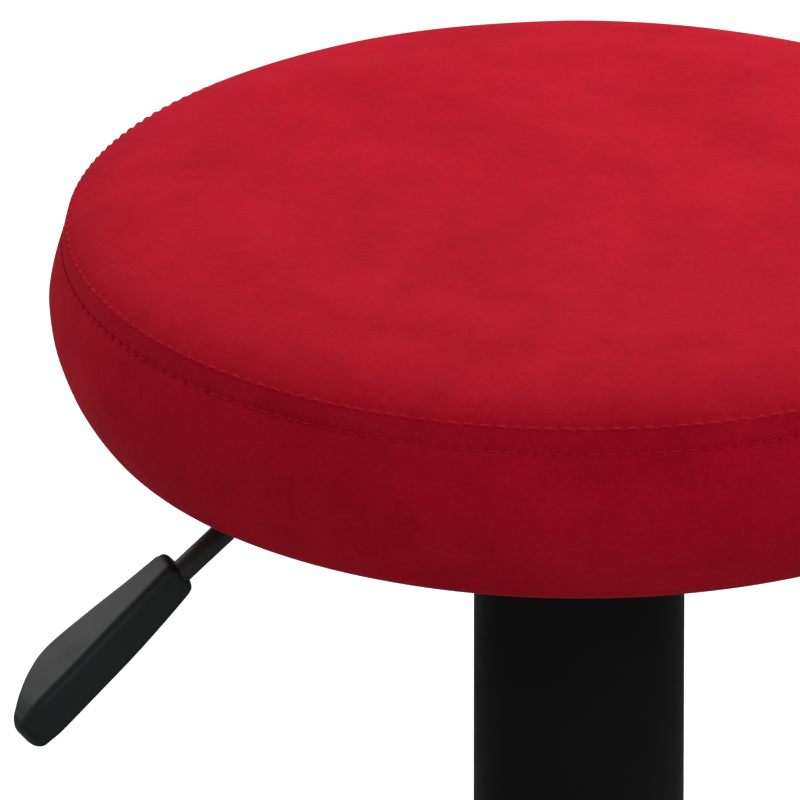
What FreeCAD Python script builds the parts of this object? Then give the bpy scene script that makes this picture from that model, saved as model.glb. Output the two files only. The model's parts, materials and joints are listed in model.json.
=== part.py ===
import FreeCAD, Part
import math
import os

# Adjustable swivel stool: a padded round seat on a gas lift with telescopic covers,
# standing on a five-star base with twin-wheel casters.
# Millimetres. The origin is on the floor, on the lift's axis, and +Z is up.
# The seat stands half way up its travel.

Vec = FreeCAD.Vector
UP = Vec(0, 0, 1)

# ---- heights that set the stool's size ----
seat_underside = 400.0
lift_up = 60.0
lift_down = 60.0
running_gap = 0.08        # radial gap of a shaft that turns or slides in its bore
fixed_gap = 0.02          # radial gap of a round piece that is pushed home
cover_gap = 1.15          # radial gap between two telescopic covers
slack = 0.3               # gap between pieces that pass each other without touching

# ---- seat ----
seam_radius = 171.5       # radius of the upper row of stitching
seat_height = 67.0        # from the underside to the upper row of stitching
crown_height = 13.0       # the middle of the top above the upper row
crown_flat = 0.8          # part of the crown that stays level until the rim turns down
crown_power = 12.4        # how sharply the rim turns down
band_height = 8.7         # from the upper to the lower row of stitching
band_flare = 1.8          # how far the lower row stands out past the upper one
side_bulge = 5.6          # how far the side stands out past the upper row
bulge_drop = 25.0         # from the upper row down to the widest part
tuck_drop = 46.0          # and down to where the side draws in
tuck_start = 4.6          # how far it has drawn in there from the widest part
side_tuck = 16.0          # and how far at its lower edge
edge_height = 3.2         # height of the lower edge's rounding
skin = 1.6                # velvet with its backing
corner_step = 0.8         # how much of the velvet's thickness lies across the lower edge
board_inset = 19.5        # the board's edge inside the stitching
board_lip = 2.0           # foam under the velvet beside the board's edge
board_thickness = 12.0
margin_width = 22.0       # velvet turned in under the board
dust_cloth_inset = 9.0
dust_cloth_thickness = 0.6
dust_cloth_step = 3.0
staple_count = 28
staple_crown = 10.0
staple_wire = 1.2
staple_leg = 6.0
staple_inset = 15.0       # from the board's edge to the ring of staples

# ---- seat plate ----
plate_half = 80.0
pan_half = 50.0
plate_corner = 14.0
pan_corner = 10.0
pan_depth = 19.0
sheet = 2.5
bolt_offset = 65.0
bolt_radius = 4.0
bolt_head_across = 13.0
bolt_head_height = 5.3
washer_radius = 8.5
washer_thickness = 1.6
tee_nut_flange_radius = 10.0
tee_nut_flange = 1.5
tee_nut_barrel_radius = 5.2
taper_hub_wall = 10.0
taper_hub_height = 22.0

# ---- lever ----
lever_heading = 208.0     # degrees from +X, seen from above
pivot_distance = 33.0
lever_radius = 4.0
lever_flat = 4.0          # thickness of the flattened inner end
lever_overhang = 9.0      # how far the inner end passes the lift's axis
lever_gap = 1.0           # from the release button to the lever above it
pivot_pin_radius = 2.0
bracket_sheet = 2.0
bracket_half = 6.0
pin_head_radius = 3.4
pin_head = 1.2
bend_distance = 127.0     # where the rod turns down
bend_drop = 3.4           # how far the rod falls before it
bend_radius = 14.0
lever_slope = 34.8        # degrees below the horizontal after the bend
paddle_slope = 39.9
paddle_start = 150.4      # distance of the paddle's socket from the lift's axis
paddle_length = 75.5
rod_in_paddle = 28.0
paddle_edge = 2.0

# ---- gas lift ----
cylinder_radius = 14.0
cylinder_wall = 2.0
cylinder_stand = 1.5      # how far the cylinder stands above the pan's floor
taper_drop = 0.7          # how much the cylinder's top narrows
button_radius = 3.0
button_stand = 4.0        # how far the release button stands above the cylinder
button_length = 18.0
valve_length = 20.0
guide_length = 12.0
seal_length = 5.0
rod_radius = 5.0
rod_spigot_radius = 4.0
piston_length = 12.0
stroke_reserve = 9.0      # left inside the lift at each end of its travel
seal_ring_radius = 0.9
tube_radius = 25.0
tube_wall = 2.0
tube_floor = 3.0
tube_reserve = 12.0       # left above the stand tube with the seat at its lowest
taper_narrowing = 1.3     # how much the tube narrows inside the base hub
bush_length = 45.0
bush_flange = 3.0
bearing_radius = 15.0
washer_plate = 2.0
ball_radius = 1.95
ball_count = 10
ball_circle = 9.5
ball_play = 0.1
cage_thickness = 1.6
bump_stop_length = 12.0
bump_stop_radius = 12.0
clip_radius = 9.0
clip_thickness = 1.6
clip_mouth = 3.0

# ---- telescopic covers ----
cover_wall = 2.0
tube_clearance = 2.0      # radial gap between the stand tube and the lower cover
lid_thickness = 3.0
bead_height = 4.0
cover_foot = 4.0          # left under the upper cover with the seat at its lowest
cover_head = 8.0          # left under the lid with the seat at its lowest

# ---- five-star base ----
leg_count = 5
first_leg = 90.0
caster_circle = 220.0
hub_height = 58.0
hub_rise = 2.0            # the hub's foot above the bosses' lower ends
hub_wall = 14.0
hub_foot_wall = 7.0
hub_foot_height = 8.0
leg_wall = 3.5
leg_corner = 8.0
cell_depth = 5.0          # hollows moulded into a leg's underside
rib_count = 4
boss_radius = 17.0
boss_height = 31.0
boss_gap = 6.0            # from a caster's hood to the boss above it
socket_reserve = 2.0      # room above the caster's stem

# ---- casters ----
wheel_radius = 25.0
wheel_width = 19.0
wheel_face = 2.5          # thickness of a wheel's closed outer face
web_thickness = 5.0
trail = 20.0
axle_radius = 3.5
stem_radius = 5.5
stem_length = 33.0
stem_grip = 22.0          # how far the stem reaches into the base
stem_tip = 1.5
stem_collar_radius = 8.0
stem_collar = 2.2
hood_gap = 1.2
hood_wall = 2.8
neck_radius = 10.0
hood_edge = 4.0           # the hood's lower edge above the axle
web_edge = 9.0            # the web's lower edge below the axle
caster_headings = (205.0, 70.0, 318.0, 150.0, 24.0)

# ---- sizes and heights worked out from those above ----
axle_height = wheel_radius
hood_radius = wheel_radius + hood_gap + hood_wall
boss_bottom = axle_height + hood_radius + boss_gap
boss_top = boss_bottom + boss_height
hub_bottom = boss_bottom + hub_rise
hub_top = hub_bottom + hub_height

# where the crown's curve is fixed, as shares of the way from the middle to the upper row
CROWN_SHARES = (0.0, 0.3, 0.55, 0.72, 0.83, 0.9, 0.95, 0.98, 1.0)

board_top = seat_underside + board_thickness
seam_height = seat_underside + seat_height
bulge_radius = seam_radius + side_bulge
board_radius = seam_radius - board_inset
margin_inner_radius = board_radius - margin_width
dust_cloth_radius = board_radius - dust_cloth_inset
plate_top = seat_underside - dust_cloth_thickness
pan_floor = plate_top - pan_depth
pan_floor_top = pan_floor + sheet
taper_hub_radius = cylinder_radius + taper_hub_wall
taper_hub_bottom = pan_floor - taper_hub_height
cylinder_top = pan_floor_top + cylinder_stand
cylinder_bore = cylinder_radius - cylinder_wall
button_top = cylinder_top + button_stand
lever_height = button_top + lever_gap + lever_flat / 2
tube_floor_top = hub_bottom + tube_floor
lower_washer_top = tube_floor_top + washer_plate
upper_washer_bottom = lower_washer_top + 2 * ball_radius + ball_play
rod_shoulder = upper_washer_bottom + washer_plate
cylinder_bottom = rod_shoulder + bump_stop_length + lift_down + stroke_reserve
piston_bottom = cylinder_bottom + guide_length + seal_length + lift_up + stroke_reserve
piston_top = piston_bottom + piston_length
cover_top = taper_hub_bottom
lid_bottom = cover_top - lid_thickness
tube_top = lid_bottom - lift_down - bush_flange - tube_reserve
lower_cover_radius = tube_radius + tube_clearance + cover_wall
middle_cover_radius = lower_cover_radius + cover_gap + cover_wall
upper_cover_radius = middle_cover_radius + cover_gap + cover_wall
upper_cover_bottom = hub_top + lift_down + cover_foot
middle_cover_bottom = hub_top + (lift_down + cover_foot) / 2
lower_cover_top = lid_bottom - lift_down - cover_head
middle_cover_top = lid_bottom - lift_down / 2 - cover_head
hub_radius = tube_radius + hub_wall
hub_foot_radius = tube_radius + hub_foot_wall
stem_top = boss_bottom + stem_grip
stem_bottom = stem_top - stem_length
wheel_inner = web_thickness / 2 + slack
wheel_blind = wheel_inner + wheel_width - wheel_face
neck_top = boss_bottom - stem_collar - slack


def save(name, shape):
    """Write one sub-part, as one solid or as a group of separate solids."""
    solids = shape.Solids
    result = solids[0] if len(solids) == 1 else Part.makeCompound(solids)
    result.exportStep("parts/" + name + ".step")


def cylinder(radius, bottom, top, x=0.0, y=0.0):
    """An upright cylinder between two heights."""
    return Part.makeCylinder(radius, top - bottom, Vec(x, y, bottom), UP)


def ring(inner, outer, bottom, top, x=0.0, y=0.0):
    """An upright tube between two heights."""
    return cylinder(outer, bottom, top, x, y).cut(cylinder(inner, bottom - 1, top + 1, x, y))


def block(x0, x1, y0, y1, z0, z1):
    """A box between two corners."""
    return Part.makeBox(x1 - x0, y1 - y0, z1 - z0, Vec(x0, y0, z0))


def revolve(edges):
    """Turn a closed outline, drawn as (radius, height), about the lift's axis."""
    face = Part.Face(Part.Wire(edges))
    return face.revolve(Vec(0, 0, 0), UP, 360)


def point(radius, height):
    return Vec(radius, 0, height)


def lines(points, closed=True):
    """Straight edges through a list of (radius, height) points."""
    corners = [point(*p) for p in points]
    if closed:
        corners.append(corners[0])
    return [Part.LineSegment(a, b).toShape() for a, b in zip(corners, corners[1:])]


def curve(points, start=None, end=None):
    """One smooth edge through (radius, height) points, with optional end directions."""
    spline = Part.BSplineCurve()
    corners = [point(*p) for p in points]
    if start and end:
        spline.interpolate(Points=corners, InitialTangent=point(*start), FinalTangent=point(*end))
    else:
        spline.interpolate(corners)
    return spline.toShape()


def turned(shape, degrees):
    """A copy turned about the lift's axis."""
    copy = shape.copy()
    copy.rotate(Vec(0, 0, 0), UP, degrees)
    return copy


def hexagon(across, bottom, top, x, y):
    """An upright hexagonal prism."""
    corner = across / math.sqrt(3)
    corners = []
    for side in range(7):
        angle = math.radians(60 * side)
        corners.append(Vec(x + corner * math.cos(angle), y + corner * math.sin(angle), bottom))
    return Part.Face(Part.makePolygon(corners)).extrude(Vec(0, 0, top - bottom))


def together(shapes):
    """Join overlapping shapes into one solid."""
    return shapes[0].multiFuse(shapes[1:]).removeSplitter()


# ---------------------------------------------------------------- seat

def crown_rise(share, height):
    """The top above the upper row, at a share of the way from the middle to the row."""
    return height * (crown_flat * (1 - share ** crown_power) + (1 - crown_flat) * (1 - share ** 2))


def seat_crown(inset):
    """The top's curve from the middle to the upper row of stitching."""
    height = crown_height - inset
    edge = seam_radius - inset
    steepness = height * (crown_flat * crown_power + 2 * (1 - crown_flat)) / edge
    points = [(edge * share, seam_height + crown_rise(share, height)) for share in CROWN_SHARES]
    return curve(points, start=(1, 0), end=(1, -steepness))


def seat_side(inset):
    """The side's curve from the upper row of stitching to the lower edge."""
    widest = bulge_radius - inset
    return curve(
        [(seam_radius - inset, seam_height),
         (seam_radius + band_flare - inset, seam_height - band_height),
         (widest, seam_height - bulge_drop),
         (widest - tuck_start, seam_height - tuck_drop),
         (widest - side_tuck, seat_underside + edge_height + corner_step * inset)])


def lower_corner(inset):
    """The rounded edge under the side, ending on the underside."""
    start_radius = bulge_radius - inset - side_tuck
    start_height = seat_underside + edge_height + corner_step * inset
    end_radius = board_radius + board_lip
    end_height = seat_underside + inset - skin
    middle = point(end_radius + 0.65 * (start_radius - end_radius),
                   end_height + 0.25 * (start_height - end_height))
    return Part.Arc(point(start_radius, start_height), middle, point(end_radius, end_height)).toShape()


def make_seat_foam():
    top = seam_height + crown_height - skin
    axis_line = lines([(0, board_top), (0, top)], closed=False)
    crown = seat_crown(skin)
    side = seat_side(skin)
    corner = lower_corner(skin)
    inside = lines([(board_radius + board_lip, seat_underside), (board_radius, seat_underside),
                    (board_radius, board_top), (0, board_top)], closed=False)
    foam = revolve(axis_line + [crown, side, corner] + inside)
    for x, y in bolt_places():
        foam = foam.cut(cylinder(tee_nut_flange_radius, board_top, board_top + tee_nut_flange, x, y))
    return foam


def make_top_panel():
    top = seam_height + crown_height
    inner_edge = lines([(0, top - skin), (0, top)], closed=False)
    seam_edge = lines([(seam_radius, seam_height), (seam_radius - skin, seam_height)], closed=False)
    return revolve(inner_edge + [seat_crown(0), *seam_edge, seat_crown(skin)])


def make_side_band():
    seam_edge = lines([(seam_radius - skin, seam_height), (seam_radius, seam_height)], closed=False)
    under = lines([(board_radius + board_lip, seat_underside - skin),
                   (margin_inner_radius, seat_underside - skin),
                   (margin_inner_radius, seat_underside), (board_radius + board_lip, seat_underside)],
                  closed=False)
    outline = seam_edge + [seat_side(0), lower_corner(0)] + under + [lower_corner(skin), seat_side(skin)]
    return revolve(Part.__sortEdges__(outline))


def bolt_places():
    places = []
    for x in (-bolt_offset, bolt_offset):
        for y in (-bolt_offset, bolt_offset):
            places.append((x, y))
    return places


def make_seat_board():
    board = cylinder(board_radius, seat_underside, board_top)
    for x, y in bolt_places():
        board = board.cut(cylinder(tee_nut_barrel_radius + fixed_gap, seat_underside, board_top, x, y))
    return board


def make_dust_cloth():
    low = seat_underside - skin
    foot = margin_inner_radius - dust_cloth_step
    cloth = revolve(lines([
        (0, plate_top), (0, seat_underside), (foot, seat_underside),
        (margin_inner_radius - fixed_gap, low), (dust_cloth_radius, low),
        (dust_cloth_radius, low - dust_cloth_thickness),
        (margin_inner_radius - dust_cloth_thickness, low - dust_cloth_thickness),
        (foot - dust_cloth_thickness, plate_top)]))
    for x, y in bolt_places():
        cloth = cloth.cut(cylinder(bolt_radius + slack, plate_top - 1, seat_underside + 1, x, y))
    return cloth


def make_staples():
    """Wire staples through the dust cloth and the velvet's turned-in margin."""
    low = seat_underside - skin - dust_cloth_thickness
    half = staple_crown / 2
    inner = board_radius - staple_inset
    outer = inner + staple_wire
    staple = block(inner, outer, -half, half, low - staple_wire, low)
    for y in (-half, half - staple_wire):
        leg = block(inner, outer, y, y + staple_wire, low - staple_wire, low + staple_leg)
        staple = staple.fuse(leg)
    staple = staple.removeSplitter()
    copies = [turned(staple, 360.0 / staple_count * i) for i in range(staple_count)]
    return Part.makeCompound(copies)


# ---------------------------------------------------------------- seat plate

def plate_frame(shape):
    """Turn a shape drawn with the lever along +X to the lever's heading."""
    return turned(shape, lever_heading)


def make_seat_plate():
    """A pressed pan with a flat flange, open where the lever leaves it."""
    flange = block(-plate_half, plate_half, -plate_half, plate_half, plate_top - sheet, plate_top)
    flange = flange.makeFillet(plate_corner, upright_edges(flange))
    pan = block(-pan_half, pan_half, -pan_half, pan_half, pan_floor, plate_top)
    pan = pan.makeFillet(pan_corner, upright_edges(pan))
    inner = block(-pan_half + sheet, pan_half - sheet, -pan_half + sheet, pan_half - sheet,
                  pan_floor_top, plate_top + 1)
    inner = inner.makeFillet(pan_corner - sheet, upright_edges(inner))
    plate = flange.fuse(pan).cut(inner)
    plate = plate.cut(cylinder(cylinder_radius + slack, pan_floor - 1, pan_floor_top + 1))
    window_half = lever_radius + 3.5
    plate = plate.cut(block(pan_half - 2 * sheet, pan_half + 2, -window_half, window_half,
                            pan_floor_top + 1.5, plate_top - sheet - 0.5))
    for x, y in bolt_places():
        plate = plate.cut(cylinder(bolt_radius + 0.5, plate_top - 2 * sheet, plate_top + 1, x, y))
    return plate.removeSplitter()


def upright_edges(shape):
    found = []
    for edge in shape.Edges:
        first, last = edge.Vertexes[0].Point, edge.Vertexes[-1].Point
        if abs(first.x - last.x) < 1e-6 and abs(first.y - last.y) < 1e-6:
            found.append(edge)
    return found


def make_taper_hub():
    """The socket under the plate that grips the lift's narrowed top."""
    body = cylinder(taper_hub_radius, taper_hub_bottom, pan_floor)
    top_radius = cylinder_radius - taper_drop + fixed_gap
    bore = Part.makeCone(cylinder_radius + fixed_gap, top_radius, taper_hub_height,
                         Vec(0, 0, taper_hub_bottom), UP)
    return body.cut(bore)


def make_plate_bolts():
    bolts = []
    head_top = plate_top - sheet - washer_thickness
    for x, y in bolt_places():
        head = hexagon(bolt_head_across, head_top - bolt_head_height, head_top, x, y)
        shank = cylinder(bolt_radius, head_top, board_top - 1.0, x, y)
        bolts.append(head.fuse(shank).removeSplitter())
    return Part.makeCompound(bolts)


def make_plate_washers():
    washers = []
    for x, y in bolt_places():
        washers.append(ring(bolt_radius + slack, washer_radius, plate_top - sheet - washer_thickness,
                            plate_top - sheet, x, y))
    return Part.makeCompound(washers)


def make_tee_nuts():
    nuts = []
    for x, y in bolt_places():
        flange = cylinder(tee_nut_flange_radius, board_top, board_top + tee_nut_flange, x, y)
        barrel = cylinder(tee_nut_barrel_radius, board_top - 9.0, board_top, x, y)
        nut = flange.fuse(barrel).cut(cylinder(bolt_radius + fixed_gap, board_top - 10, board_top + 3, x, y))
        nuts.append(nut.removeSplitter())
    return Part.makeCompound(nuts)


# ---------------------------------------------------------------- lever

def make_lever_bracket():
    """Two ears on the pan's floor that carry the lever's pivot pin."""
    inner = lever_radius + slack
    outer = inner + bracket_sheet
    x0, x1 = pivot_distance - bracket_half, pivot_distance + bracket_half
    top = lever_height + lever_radius + pivot_pin_radius / 2
    shape = block(x0, x1, -outer, outer, pan_floor_top, top)
    shape = shape.cut(block(x0 - 1, x1 + 1, -inner, inner, pan_floor_top + bracket_sheet / 2, top + 1))
    return shape.cut(pivot_cylinder(pivot_pin_radius + fixed_gap, 2 * outer + 4))


def pivot_cylinder(radius, length):
    """A cylinder along the lever's pivot, centred on the rod."""
    return Part.makeCylinder(radius, length, Vec(pivot_distance, -length / 2, lever_height), Vec(0, 1, 0))


def make_lever_pin():
    half = lever_radius + slack + bracket_sheet
    body = pivot_cylinder(pivot_pin_radius, 2 * half + 3.0)
    start = Vec(pivot_distance, half + fixed_gap, lever_height)
    head = Part.makeCylinder(pin_head_radius, pin_head, start, Vec(0, 1, 0))
    return body.fuse(head).removeSplitter()


def lever_point(distance, height):
    return Vec(distance, 0, height)


def make_lever_rod():
    """A round bar with a flattened inner end, bent down outside the seat plate."""
    bend_height = lever_height - bend_drop
    slope = math.radians(lever_slope)
    first = math.atan2(bend_drop, bend_distance - pivot_distance)
    turn = slope - first
    reach = bend_radius * math.tan(turn / 2)
    corner = lever_point(bend_distance, bend_height)
    along_first = Vec(math.cos(first), 0, -math.sin(first))
    along_second = Vec(math.cos(slope), 0, -math.sin(slope))
    flat_end = pivot_distance - 12.0
    start = lever_point(flat_end, lever_height + (pivot_distance - flat_end) * math.tan(first))
    arc_start = corner - along_first * reach
    arc_end = corner + along_second * reach
    inward = Vec(-math.sin(first), 0, -math.cos(first))
    centre = arc_start + inward * bend_radius
    middle_angle = math.pi / 2 - (first + slope) / 2
    middle = centre + Vec(math.cos(middle_angle), 0, math.sin(middle_angle)) * bend_radius
    rod_end = paddle_point(rod_in_paddle, 0, 0)
    straight = arc_end + along_second * ((paddle_socket() - arc_end).Length)
    edges = [Part.LineSegment(start, arc_start).toShape(),
             Part.Arc(arc_start, middle, arc_end).toShape(),
             Part.LineSegment(arc_end, straight).toShape()]
    path = Part.Wire(edges)
    section = Part.Wire(Part.Circle(start, along_first, lever_radius).toShape())
    rod = path.makePipeShell([section], True, False)
    tail = Part.makeCylinder(lever_radius, (rod_end - straight).Length, straight, rod_end - straight)
    joint = Part.makeSphere(lever_radius, straight)
    half = lever_flat / 2
    flat = block(-lever_overhang, flat_end + 6.0, -lever_radius, lever_radius,
                 lever_height - half, lever_height + half)
    rod = rod.multiFuse([tail, joint, flat])
    return rod.cut(pivot_cylinder(pivot_pin_radius + running_gap, 40.0)).removeSplitter()


def paddle_socket():
    """Where the rod enters the paddle."""
    bend_height = lever_height - bend_drop
    drop = (paddle_start - bend_distance) * math.tan(math.radians(lever_slope))
    return lever_point(paddle_start, bend_height - drop)


def paddle_point(along, side, rise):
    """A point in the paddle's own frame: along its axis, to its side, and above it."""
    slope = math.radians(paddle_slope)
    forward = Vec(math.cos(slope), 0, -math.sin(slope))
    above = Vec(math.sin(slope), 0, math.cos(slope))
    return paddle_socket() + forward * along + Vec(0, side, 0) + above * rise


# each section of the paddle: along its axis, its near and far sides, its top and its underside
PADDLE_SECTIONS = (
    (0.0, 4.6, -5.3, 7.7, -7.0),
    (12.0, 4.9, -7.7, 8.2, -7.5),
    (30.0, 5.3, -11.5, 9.0, -7.7),
    (48.0, 5.9, -14.4, 9.8, -6.9),
    (58.0, 6.1, -11.5, 10.3, -6.5),
    (66.0, 6.0, -5.8, 10.6, -6.1),
    (72.0, 5.6, -2.6, 9.2, -5.6),
    (paddle_length, 3.0, -1.0, 5.6, -2.8),
)


def make_lever_paddle():
    """A long flat-faced handle, widest near its outer end and hollowed for the rod."""
    wires = []
    for along, near, far, top, bottom in PADDLE_SECTIONS:
        cut = min(paddle_edge, 0.3 * (near - far))
        corners = [(far, bottom + cut), (far, top - cut), (far + cut, top), (near - cut, top),
                   (near, top - cut), (near, bottom + cut), (near - cut, bottom), (far + cut, bottom)]
        corners.append(corners[0])
        wires.append(Part.makePolygon([paddle_point(along, side, rise) for side, rise in corners]))
    body = Part.makeLoft(wires, True, True)
    socket_start = paddle_point(-lever_radius, 0, 0)
    axis = paddle_point(1.0, 0, 0) - paddle_point(0, 0, 0)
    depth = rod_in_paddle + 2 * lever_radius
    socket = Part.makeCylinder(lever_radius + fixed_gap, depth, socket_start, axis)
    return body.cut(socket)


# ---------------------------------------------------------------- gas lift

def make_gas_cylinder():
    outer = revolve(lines([
        (cylinder_bore, cylinder_bottom), (cylinder_radius, cylinder_bottom),
        (cylinder_radius, taper_hub_bottom), (cylinder_radius - taper_drop, pan_floor),
        (cylinder_radius - taper_drop, cylinder_top), (cylinder_bore, cylinder_top)]))
    return outer


def make_valve_block():
    bottom = cylinder_top - valve_length
    return ring(button_radius + running_gap, cylinder_bore - fixed_gap, bottom, cylinder_top)


def make_release_button():
    tip = button_radius / 3
    pin = cylinder(button_radius, button_top - button_length, button_top - tip)
    dome = Part.makeCone(button_radius, button_radius - tip, tip, Vec(0, 0, button_top - tip), UP)
    return pin.fuse(dome).removeSplitter()


def make_rod_guide():
    return ring(rod_radius + running_gap, cylinder_bore - fixed_gap,
                cylinder_bottom, cylinder_bottom + guide_length)


def make_rod_seal():
    bottom = cylinder_bottom + guide_length
    return ring(rod_radius + running_gap, cylinder_bore - fixed_gap, bottom, bottom + seal_length)


def make_piston_rod():
    spigot = cylinder(rod_spigot_radius, hub_bottom - clip_thickness - 2 * slack, rod_shoulder)
    rod = cylinder(rod_radius, rod_shoulder, piston_bottom)
    end = cylinder(rod_spigot_radius, piston_bottom, piston_top)
    return together([spigot, rod, end])


def make_piston_head():
    middle = piston_bottom + piston_length / 2
    head = ring(rod_spigot_radius + fixed_gap, cylinder_bore - 2 * running_gap, piston_bottom, piston_top)
    groove = Part.makeTorus(cylinder_bore - running_gap - seal_ring_radius, seal_ring_radius + fixed_gap,
                            Vec(0, 0, middle), UP)
    return head.cut(groove)


def make_piston_seal():
    middle = piston_bottom + piston_length / 2
    return Part.makeTorus(cylinder_bore - running_gap - seal_ring_radius, seal_ring_radius,
                          Vec(0, 0, middle), UP)


def tube_outline(inset):
    """Radius and height points of the stand tube's wall, narrowed inside the base hub."""
    return (tube_radius - taper_narrowing - inset, tube_radius - inset)


def make_stand_tube():
    low_out, high_out = tube_outline(0)
    low_in, high_in = tube_outline(tube_wall)
    return revolve(lines([
        (rod_spigot_radius + slack, hub_bottom), (low_out, hub_bottom), (high_out, hub_top),
        (high_out, tube_top), (high_in, tube_top), (high_in, hub_top), (low_in, tube_floor_top),
        (rod_spigot_radius + slack, tube_floor_top)]))


def make_guide_bush():
    bore = cylinder_radius + running_gap
    outer = tube_radius - tube_wall - fixed_gap
    sleeve = cylinder(outer, tube_top - bush_length, tube_top)
    flange = cylinder(tube_radius, tube_top, tube_top + bush_flange)
    return sleeve.fuse(flange).cut(cylinder(bore, tube_top - bush_length - 1, tube_top + 5)).removeSplitter()


def make_lower_washer():
    return ring(rod_spigot_radius + slack, bearing_radius, tube_floor_top, lower_washer_top)


def make_upper_washer():
    return ring(rod_spigot_radius + fixed_gap, bearing_radius, upper_washer_bottom, rod_shoulder)


def ball_places():
    places = []
    for number in range(ball_count):
        angle = 2 * math.pi * number / ball_count
        places.append((ball_circle * math.cos(angle), ball_circle * math.sin(angle)))
    return places


def make_caged_balls():
    """The bearing's balls in their flat cage, bought as one piece."""
    middle = (lower_washer_top + upper_washer_bottom) / 2
    half = cage_thickness / 2
    cage = ring(rod_spigot_radius + slack, bearing_radius - cage_thickness, middle - half, middle + half)
    balls = []
    for x, y in ball_places():
        cage = cage.cut(Part.makeSphere(ball_radius + ball_play, Vec(x, y, middle)))
        balls.append(Part.makeSphere(ball_radius, Vec(x, y, middle)))
    return Part.makeCompound([cage, *balls])


def make_bump_stop():
    body = ring(rod_radius + fixed_gap, bump_stop_radius, rod_shoulder, rod_shoulder + bump_stop_length)
    return body


def make_rod_clip():
    """The spring clip that keeps the rod in the stand tube's floor."""
    top = hub_bottom - slack
    clip = ring(rod_spigot_radius + fixed_gap, clip_radius, top - clip_thickness, top)
    gap = block(0, 2 * clip_radius, -clip_mouth / 2, clip_mouth / 2, top - 2 * clip_thickness, top + 1)
    return clip.cut(gap)


# ---------------------------------------------------------------- telescopic covers

def cover_sleeve(radius, bottom, top, inner_neighbour):
    """A thin sleeve with a guiding bead inside its foot."""
    sleeve = ring(radius - cover_wall, radius, bottom, top)
    if inner_neighbour:
        bead = ring(inner_neighbour + slack, radius - cover_wall / 2, bottom, bottom + bead_height)
        sleeve = sleeve.fuse(bead).removeSplitter()
    return sleeve


def make_upper_cover():
    sleeve = cover_sleeve(upper_cover_radius, upper_cover_bottom, cover_top, middle_cover_radius)
    lid = ring(cylinder_radius + slack, upper_cover_radius - cover_wall / 2, lid_bottom, cover_top)
    return sleeve.fuse(lid).removeSplitter()


def make_middle_cover():
    return cover_sleeve(middle_cover_radius, middle_cover_bottom, middle_cover_top, lower_cover_radius)


def make_lower_cover():
    return cover_sleeve(lower_cover_radius, hub_top, lower_cover_top, None)


# ---------------------------------------------------------------- five-star base

# each section of a leg: distance from the axis, width, and its underside and top above the bosses' ends
LEG_SECTIONS = (
    (18.0, 50.0, 16.0, 58.0),
    (75.0, 43.0, 16.0, 52.0),
    (150.0, 37.0, 10.0, 40.0),
    (caster_circle, 33.0, 4.0, boss_height - 1.0),
)


def leg_section(distance, width, bottom, top, corner):
    """An upright section of a leg with two rounded upper corners."""
    half = width / 2
    turn = corner * (1 - math.sqrt(0.5))
    at = lambda y, z: Vec(distance, y, z)
    edges = [
        Part.LineSegment(at(-half, bottom), at(-half, top - corner)).toShape(),
        Part.Arc(at(-half, top - corner), at(-half + turn, top - turn), at(-half + corner, top)).toShape(),
        Part.LineSegment(at(-half + corner, top), at(half - corner, top)).toShape(),
        Part.Arc(at(half - corner, top), at(half - turn, top - turn), at(half, top - corner)).toShape(),
        Part.LineSegment(at(half, top - corner), at(half, bottom)).toShape(),
        Part.LineSegment(at(half, bottom), at(-half, bottom)).toShape(),
    ]
    return Part.Wire(edges)


def make_leg():
    """One leg with shallow cells moulded underneath and a boss for the caster's stem."""
    outer = []
    cells = []
    for distance, width, underside, crest in LEG_SECTIONS:
        bottom = boss_bottom + underside
        outer.append(leg_section(distance, width, bottom, boss_bottom + crest, leg_corner))
        cells.append(leg_section(distance, width - 2 * leg_wall, bottom - leg_corner, bottom + cell_depth,
                                 cell_depth / 2))
    leg = Part.makeLoft(outer, True)
    hollow = Part.makeLoft(cells, True)
    span = caster_circle - boss_radius - hub_radius
    pitch = span / (rib_count + 1)
    for number in range(rib_count + 1):
        start = hub_radius + pitch * number + leg_wall / 2
        reach = block(start, start + pitch - leg_wall, -hub_radius, hub_radius, 0, hub_top)
        leg = leg.cut(hollow.common(reach))
    leg = leg.fuse(cylinder(boss_radius, boss_bottom, boss_top, caster_circle))
    socket_top = stem_top + socket_reserve
    leg = leg.cut(cylinder(stem_radius + running_gap, boss_bottom - 1, socket_top, caster_circle))
    return leg.cut(cylinder(hub_radius + fixed_gap, 0, 2 * hub_top)).removeSplitter()


def make_base_legs():
    """The five legs, each welded to the hub by its inner end."""
    leg = make_leg()
    return Part.makeCompound([turned(leg, leg_angle(number)) for number in range(leg_count)])


def leg_angle(number):
    return first_leg + 360.0 / leg_count * number


def make_base_hub():
    """The middle of the base, with the tapered bore that grips the stand tube."""
    hub = cylinder(hub_radius, hub_bottom + hub_foot_height, hub_top)
    hub = hub.fuse(cylinder(hub_foot_radius, hub_bottom, hub_top))
    low_out, high_out = tube_outline(-fixed_gap)
    bore = Part.makeCone(low_out, high_out, hub_top - hub_bottom, Vec(0, 0, hub_bottom), UP)
    return hub.cut(bore).removeSplitter()


# ---------------------------------------------------------------- casters
# A caster is drawn with its stem on the Z axis at the origin and its wheels trailing to -X.

def lying_cylinder(radius, y0, y1, x, z):
    """A cylinder along Y, as the axle lies."""
    return Part.makeCylinder(radius, y1 - y0, Vec(x, y0, z), Vec(0, 1, 0))


def make_caster_stem():
    body = cylinder(stem_radius, stem_bottom, stem_top - stem_tip)
    tip = Part.makeCone(stem_radius, stem_radius - stem_tip, stem_tip, Vec(0, 0, stem_top - stem_tip), UP)
    collar = cylinder(stem_collar_radius, neck_top, neck_top + stem_collar)
    return together([body, tip, collar])


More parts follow.
